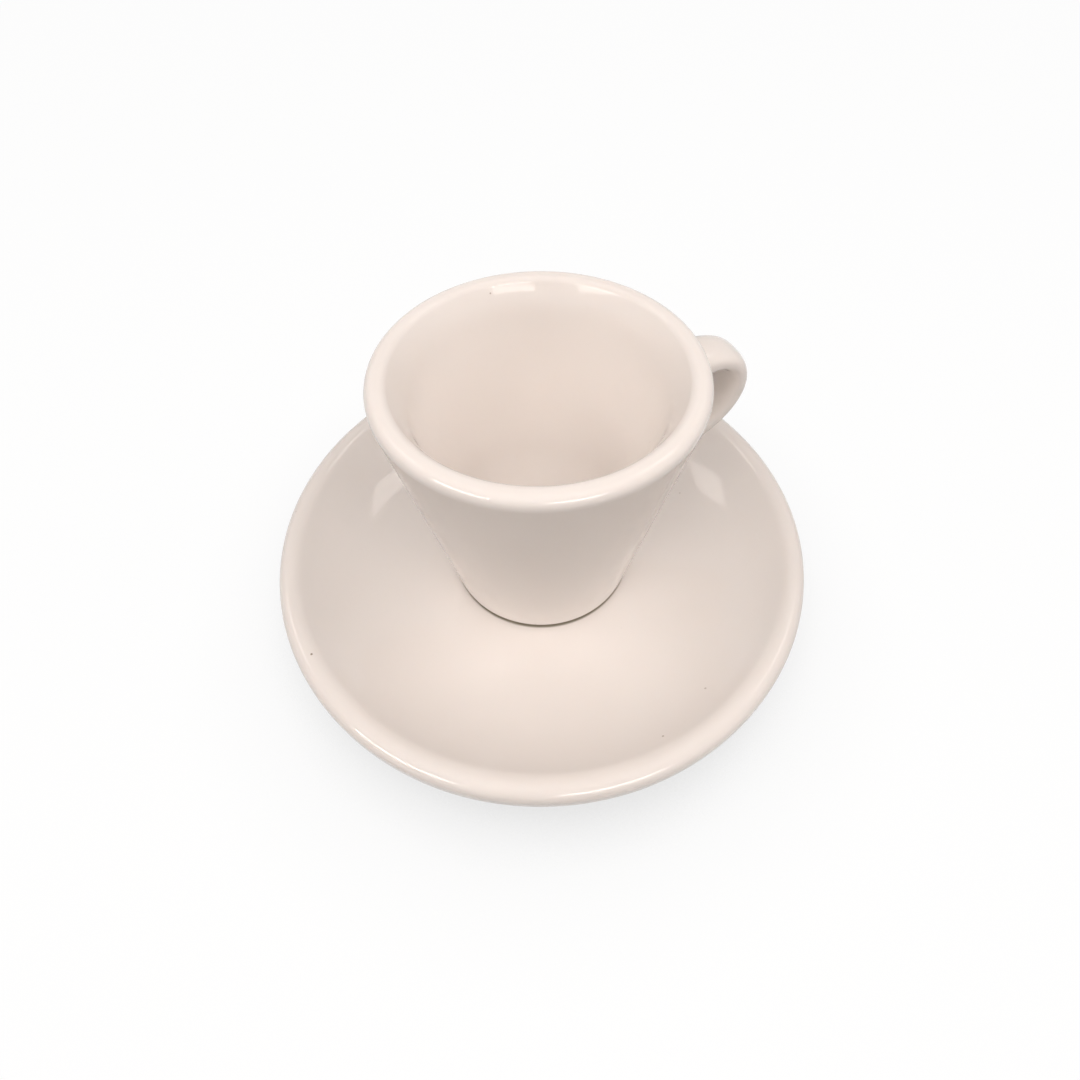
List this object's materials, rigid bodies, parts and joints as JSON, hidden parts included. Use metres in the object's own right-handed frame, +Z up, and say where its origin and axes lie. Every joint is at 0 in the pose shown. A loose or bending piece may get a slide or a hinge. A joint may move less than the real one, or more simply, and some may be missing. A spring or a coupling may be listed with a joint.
{
  "type": "cappuccino cup with saucer",
  "caption": "Thick conical porcelain coffee cup with a round lip and a ribbon ear handle, seated in the well of a deep dished saucer and free to lift off.",
  "frame": {"origin": "on the table, at the middle of the saucer's foot ring", "axes": "+Z up along the shared axis of cup and saucer, +X towards the handle"},
  "size_m": [0.15, 0.15, 0.082],
  "materials": {
    "saucer_glaze": "glossy warm white glaze",
    "cup_glaze": "glossy warm white glaze"
  },
  "bodies": {
    "saucer": {"saucer": "saucer_glaze"},
    "cup": {"cup_body": "cup_glaze", "cup_handle": "cup_glaze"}
  },
  "joints": [
    {"name": "cup_lift", "type": "slide", "parent": "saucer", "child": "cup", "axis": [0, 0, 1], "range_m": [0, 0.08]}
  ]
}
